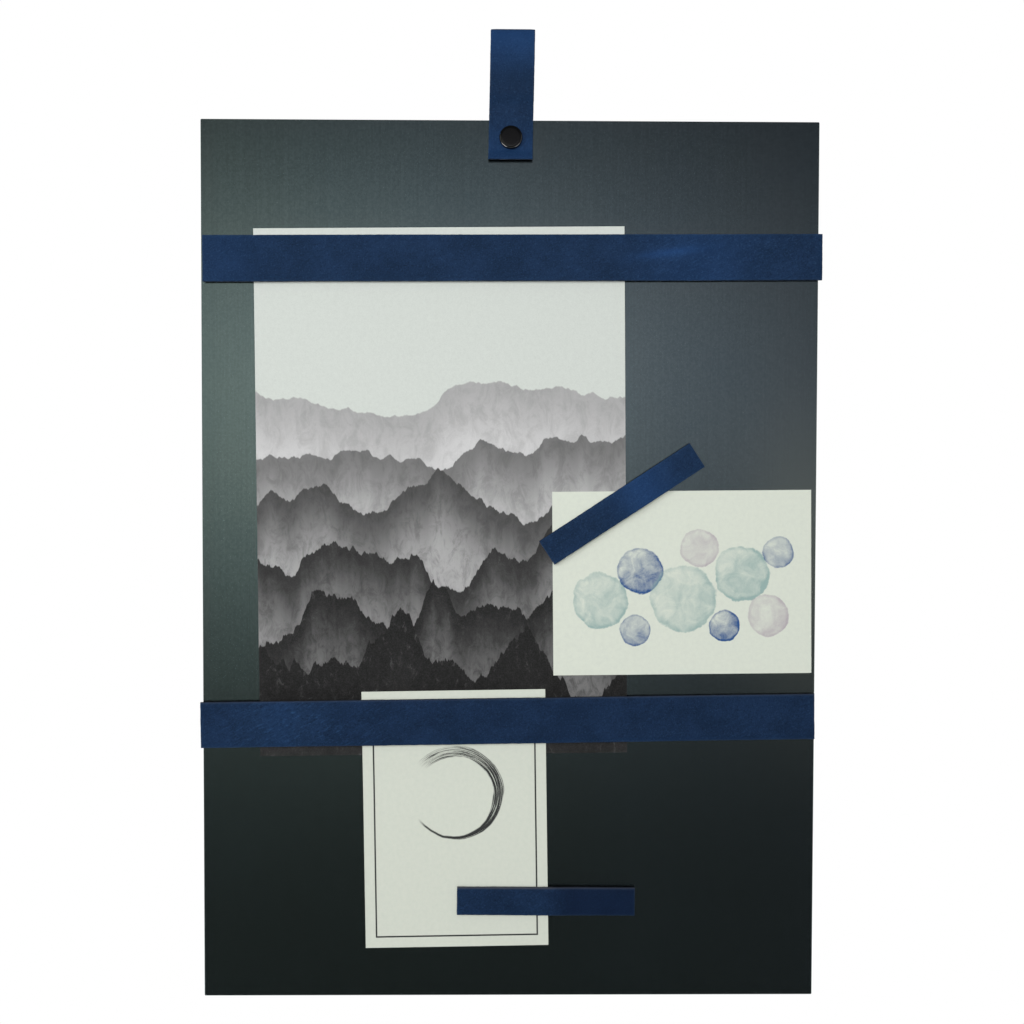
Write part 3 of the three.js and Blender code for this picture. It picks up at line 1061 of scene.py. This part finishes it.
board_low, board_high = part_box("steel_board")
board_middle = (board_low + board_high) / 2
loop_low, loop_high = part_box("hanger_loop")
post_low, post_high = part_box("binding_post")
post_height = (post_low.z + post_high.z) / 2
head_radius = (post_high.x - post_low.x) / 2
leather_thickness = loop_high.z
head_seat = board_high.y + 2 * SEAT_GAP + leather_thickness

print_plate = Plate("art_print")
wide_plate = Plate("landscape_card")
tall_plate = Plate("portrait_card")
print_right = print_plate.middle[0] + print_plate.width / 2
print_bottom = print_plate.middle[1] - print_plate.height / 2
tall_right = tall_plate.middle[0] + tall_plate.width / 2
print_step = print_plate.thickness + SEAT_GAP
card_step = wide_plate.thickness + SEAT_GAP

leather_material = grain_leather()
raw_material = raw_leather()
tape_material = magnet_tape()
steel_material = satin_steel()
black_material = black_steel()


# Pieces

def steel_board():
    sheet = nodes["steel_board"].data
    sheet.materials.clear()
    sheet.materials.append(steel_material)


def hanger_loop():
    """One strap bent along the fold's line, pressed by the post's head, its front end lifted a little."""
    thickness = leather_thickness
    leg = board_high.y + SEAT_GAP + thickness / 2
    line = fold_line(leg, thickness, loop_low.z, board_high.z)
    lengths = np.concatenate([[0], np.cumsum(np.linalg.norm(np.diff(line, axis=0), axis=1))])
    total = lengths[-1]
    tangent = np.gradient(line, lengths, axis=0)
    tangent /= np.linalg.norm(tangent, axis=1)[:, None]
    width = loop_high.x - loop_low.x
    points, faces, front, ring, nearness = leather_slab(width, total, thickness, LOOP_CELL, LOOP_SEED)
    along = np.clip(points[:, 2] + total / 2, 0, total)
    overshoot = points[:, 2] + total / 2 - along
    height = -points[:, 1] - thickness / 2
    line_y, line_z, tangent_y, tangent_z = (
        np.interp(along, lengths, values) for values in (*line.T, *tangent.T)
    )
    bent = np.empty_like(points)
    bent[:, 0] = points[:, 0]
    bent[:, 1] = line_y - tangent_z * height + tangent_y * overshoot
    bent[:, 2] = line_z + tangent_y * height + tangent_z * overshoot
    from_post = np.hypot(bent[:, 0], bent[:, 2] - post_height)
    pressed = HEAD_PRESS * (1 - ease(from_post, head_radius - SEAT_GAP, HEAD_PRESS_REACH))
    pressed = pressed * np.clip(height / thickness + 0.5, 0, 1)
    end_run = post_height - loop_low.z - head_radius
    lifted = LEG_END_LIFT * ease(post_height - bent[:, 2], head_radius, end_run)
    bent[:, 1] += np.where(bent[:, 1] < 0, pressed - lifted, -pressed)
    bent[:, 0] += LOOP_LEAN * (bent[:, 2] - post_height)
    # Painted light: lighter towards the loop's top and by its end
    painted_light_and_pull = LOOP_TOP_PAINTED_LIGHT * ease(bent[:, 2], -LOOP_TOP_REACH, LOOP_TOP_REACH)
    painted_light_and_pull += LOOP_END_PAINTED_LIGHT * (1 - ease(bent[:, 2], post_height - head_radius, 3 * head_radius))
    loop = mesh_object("hanger_hide", bent, faces)
    creasing = np.full_like(painted_light_and_pull, LOOP_CREASING)
    dress_leather(loop, front, ring, nearness, painted_light_and_pull, creasing, np.zeros_like(painted_light_and_pull), LOOP_SEED)
    settle(loop, Matrix.Identity(4), "hanger", "leather", "hanger_loop")


def fasten(head, node):
    """Puts a turned piece of black steel on the axis of the post."""
    head.data.materials.append(black_material)
    settle(head, Matrix.Translation((0, 0, post_height)), "hanger", "black_steel", node)


def binding_post():
    """The round head with a slight crown and a rounded rim, and the barrel behind it."""
    face_radius = head_radius - HEAD_RIM_RADIUS
    rim_y = post_low.y + HEAD_CROWN + HEAD_RIM_RADIUS
    crown = [(0, post_low.y)]
    crown += [(share * face_radius, post_low.y + HEAD_CROWN * share ** 2) for share in CROWN_SHARES]
    edge = quarter(face_radius, rim_y, HEAD_RIM_RADIUS, -math.pi / 2, 0)
    back = [(head_radius, -head_seat), (BARREL_RADIUS, -head_seat)]
    back += [(BARREL_RADIUS, post_high.y), (0, post_high.y)]
    fasten(turned("binding_post_head", [*crown, *edge, *back]), "binding_post")


def binding_screw():
    """The rear head with a rounded rim and a slot. Its shank is out of sight inside the barrel."""
    low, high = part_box("binding_screw")
    radius = (high.x - low.x) / 2
    rim_radius = radius - SCREW_RIM_RADIUS
    edge = quarter(rim_radius, high.y - SCREW_RIM_RADIUS, SCREW_RIM_RADIUS, 0, math.pi / 2)
    head = turned("binding_screw_head", [(0, head_seat), (radius, head_seat), *edge, (0, high.y)])
    slot_low = (-2 * radius, high.y - SLOT_DEPTH, -SLOT_WIDTH / 2)
    slot_high = (2 * radius, high.y + SLOT_DEPTH, SLOT_WIDTH / 2)
    cut(head, box_cutter(slot_low, slot_high))
    fasten(head, "binding_screw")


def straps():
    """The two long straps and the two short strips, each with how it settles, how it is worn, and its
    painted highlight and painted shade.
    """
    top = Plate("top_strap_leather")
    bottom = Plate("bottom_strap_leather")
    lower = Plate("lower_strip_leather")
    card_edge = tall_right - lower.middle[0]

    def top_drop(along):
        return print_step * ease(along, print_right - top.middle[0], STRAP_SETTLE_RUN)

    def bottom_drop(along):
        past_card = card_step * ease(along, tall_right - bottom.middle[0], STRAP_SETTLE_RUN)
        return past_card + print_step * ease(along, print_right - bottom.middle[0], STRAP_SETTLE_RUN)

    def upper_drop(along):
        return (print_step + card_step) * ease(along, STRIP_SETTLE_START, STRIP_SETTLE_RUN)

    def lower_drop(along):
        return print_step + card_step * ease(along, card_edge, STRAP_SETTLE_RUN)

    def top_lightening(along, across):
        smear = swell(across - SMEAR_SLOPE * (along - SMEAR_PLACE), SMEAR_RISE, SMEAR_WIDTH)
        smear = smear * swell(along, SMEAR_PLACE, SMEAR_LENGTH)
        return shares_along(along, *TOP_LIGHTENING) + SMEAR_SHARE * smear

    # Painted shade over the bottom strap, lighter by its left end
    def bottom_painted_shade_and_lightening(along, across):
        return shares_along(along, *BOTTOM_PAINTED_SHADE_AND_LIGHTENING)

    # Painted highlight where the upper strip bends down
    def upper_painted_highlight(along, across):
        return shares_along(along, *UPPER_PAINTED_HIGHLIGHT)

    # Painted highlight at the bend past the card's edge, and painted shade all along that deepens beyond
    # it
    def lower_painted_light(along, across):
        bend = LOWER_BEND_PAINTED_HIGHLIGHT * swell(along, card_edge + LOWER_BEND_PLACE, LOWER_BEND_REACH)
        beyond = ease(along, card_edge + BEYOND_PAINTED_SHADE_START, BEYOND_PAINTED_SHADE_RUN)
        return bend - LOWER_PAINTED_SHADE - BEYOND_PAINTED_SHADE * beyond

    # Painted highlight on upper edges: none, a little along the bottom strap, more along the lower strip
    # and less beyond the card
    def no_edge_highlight(along):
        return np.zeros_like(along)

    def bottom_edge_highlight(along):
        return np.full_like(along, BOTTOM_EDGE_HIGHLIGHT)

    def lower_edge_highlight(along):
        return LOWER_EDGE_HIGHLIGHT - BEYOND_EDGE_HIGHLIGHT_LOSS * ease(along, card_edge, BEYOND_EDGE_HIGHLIGHT_RUN)

    magnetic_leather("top_strap", TOP_SEED, top_drop, top_lightening, TOP_CREASING, no_edge_highlight)
    magnetic_leather("bottom_strap", BOTTOM_SEED, bottom_drop, bottom_painted_shade_and_lightening, BOTTOM_CREASING, bottom_edge_highlight)
    magnetic_leather("upper_strip", UPPER_SEED, upper_drop, upper_painted_highlight, STRIP_CREASING, no_edge_highlight)
    magnetic_leather("lower_strip", LOWER_SEED, lower_drop, lower_painted_light, STRIP_CREASING, lower_edge_highlight)


def sheets():
    """The print and the two cards, each with its picture in front and plain paper behind."""
    print_back = plain_paper("print_paper", PRINT_TONES)
    wide_back = plain_paper("card_paper", CARD_TONES)
    shaded_back = plain_paper("shaded_card_paper", SHADED_CARD_TONES)
    ring = ring_card(tall_plate.width / 2 / MM, tall_plate.height / 2 / MM)
    hills = hills_print()
    drops = drops_card()

    def flat(right, up):
        return np.zeros_like(right)

    def wide_drop(right, up):
        return print_step * ease(right, print_right - wide_plate.middle[0], CARD_SETTLE_RUN)

    def tall_drop(right, up):
        return print_step * ease(-up, tall_plate.middle[1] - print_bottom, CARD_SETTLE_RUN)

    paper_sheet("hills_sheet", "art_print", "print_sheet", "print_paper", flat, hills, print_back)
    paper_sheet(
        "drops_sheet", "landscape_card", "landscape_sheet", "card_paper", wide_drop, drops, wide_back
    )
    paper_sheet("ring_sheet", "portrait_card", "portrait_sheet", "card_paper", tall_drop, ring, shaded_back)


# Studio

def studio_world():
    """White to the camera, and the studio's soft light and reflections to everything else."""
    world = bpy.data.worlds.new("studio")
    bpy.context.scene.world = world
    tree = Tree(world)
    ray = tree.add("ShaderNodeLightPath")
    right, depth, up = tree.split(tree.out(tree.add("ShaderNodeTexCoord"), "Generated"))

    overhead = up.most(0.0) ** 2.0
    spread = depth ** AHEAD_POWER * LIGHT_AHEAD + overhead * LIGHT_OVERHEAD + LIGHT_ALL_ROUND
    lean = up * LEAN_UP - right * LEAN_LEFT + 1.0
    soft = spread * lean.most(0.0) * AMBIENT

    ahead = (0.0 - depth).most(LEAST_AHEAD)
    across = (right / ahead - GLOW_SLOPE[0]) / GLOW_WIDTH
    rise = up / ahead - GLOW_SLOPE[1]
    height = rise.most(0.0) / GLOW_ABOVE + rise.least(0.0) / GLOW_BELOW
    glow = tree.bell(across, height) * tree.smooth(depth, *GLOW_SIDES)
    around = tree.smooth(depth, *DIM_AHEAD_END)
    around = around * tree.smooth(up, *DIM_ABOVE_START, start=1.0, end=1.0 - DIM_ABOVE)
    around = around * tree.smooth(depth, *DIM_BEHIND_START, start=1.0, end=1.0 - DIM_BEHIND)
    table = tree.smooth(up, *TABLE_TOP) * tree.smooth(depth, *TABLE_FRONT)
    table = table * tree.smooth(depth, *TABLE_BACK)
    table = table * tree.smooth(right, *TABLE_SIDES, start=1.0, end=TABLE_RIGHT_SHARE)
    mirrored = DIM_AHEAD + around * (1.0 - DIM_AHEAD) + glow * GLOW + table * TABLE_GLOW

    glossy = tree.out(ray, "Is Glossy Ray")
    shown = tree.out(ray, "Is Camera Ray").most(tree.out(ray, "Is Transmission Ray"))
    lit = soft + glossy * (mirrored - soft)
    strength = lit + shown * (1.0 - lit)
    towards_right = tree.smooth(right + up * TINT_RISE, -TINT_REACH, TINT_REACH)
    tint = tree.mix(towards_right, LOW_LEFT_TINT, HIGH_RIGHT_TINT)
    light = tree.mix(glossy * tree.smooth(depth, *TINT_SIDES), WHITE, tint)
    background = tree.add("ShaderNodeBackground", {"Color": light, "Strength": strength})
    tree.show("ShaderNodeOutputWorld", background.outputs["Background"])


def lamp(name, place, size, power):
    """A square soft lamp towards the board. Glossy surfaces mirror the world's glow instead of it."""
    light = bpy.data.lights.new(name, "AREA")
    light.shape = "SQUARE"
    light.size = size
    light.energy = power
    made = bpy.data.objects.new(name, light)
    made.location = place
    towards = board_middle - Vector(place)
    made.rotation_euler = towards.to_track_quat("-Z", "Y").to_euler()
    made.visible_camera = False
    made.visible_glossy = False
    bpy.context.scene.collection.objects.link(made)


def floor():
    """A pale round floor below the board that takes its shadow and fades out at its rim."""
    bpy.ops.mesh.primitive_circle_add(vertices=FLOOR_SEGMENTS, radius=FLOOR_RADIUS, fill_type="NGON")
    made = bpy.context.object
    made.name = "floor"
    made.location = (0, 0, board_low.z - FLOOR_DROP)
    pale, tree = material("pale_floor")
    ray = tree.add("ShaderNodeLightPath")
    seen = tree.out(ray, "Is Camera Ray").most(tree.out(ray, "Is Glossy Ray"))
    seen = seen.most(tree.out(ray, "Is Transmission Ray"))
    right, depth, _ = tree.split(tree.coordinates())
    rim = tree.smooth(tree.length(right, depth), FLOOR_FADE_START, FLOOR_RADIUS)
    shading = (1.0 - rim) * FLOOR_SHADING
    matte = tree.add("ShaderNodeBsdfDiffuse", {"Color": shading})
    glow = tree.add("ShaderNodeEmission", {"Strength": seen * (1.0 - shading)})
    both = tree.add("ShaderNodeAddShader")
    tree.links.new(matte.outputs["BSDF"], both.inputs[0])
    tree.links.new(glow.outputs["Emission"], both.inputs[1])
    tree.show("ShaderNodeOutputMaterial", both.outputs["Shader"])
    made.data.materials.append(pale)


def camera():
    lens = bpy.data.cameras.new("camera")
    lens.lens = FOCAL_LENGTH_MM
    lens.sensor_width = SENSOR_WIDTH_MM
    made = bpy.data.objects.new("camera", lens)
    face_middle = Vector((board_middle.x, board_low.y, board_middle.z))
    made.location = face_middle + CAMERA_PLACE
    made.rotation_euler = [math.radians(angle) for angle in CAMERA_ANGLES]
    bpy.context.scene.collection.objects.link(made)
    bpy.context.scene.camera = made


camera()
studio_world()
for settings in LAMPS:
    lamp(*settings)
floor()
steel_board()
hanger_loop()
binding_post()
binding_screw()
sheets()
straps()

bpy.context.scene.view_settings.view_transform = "Standard"
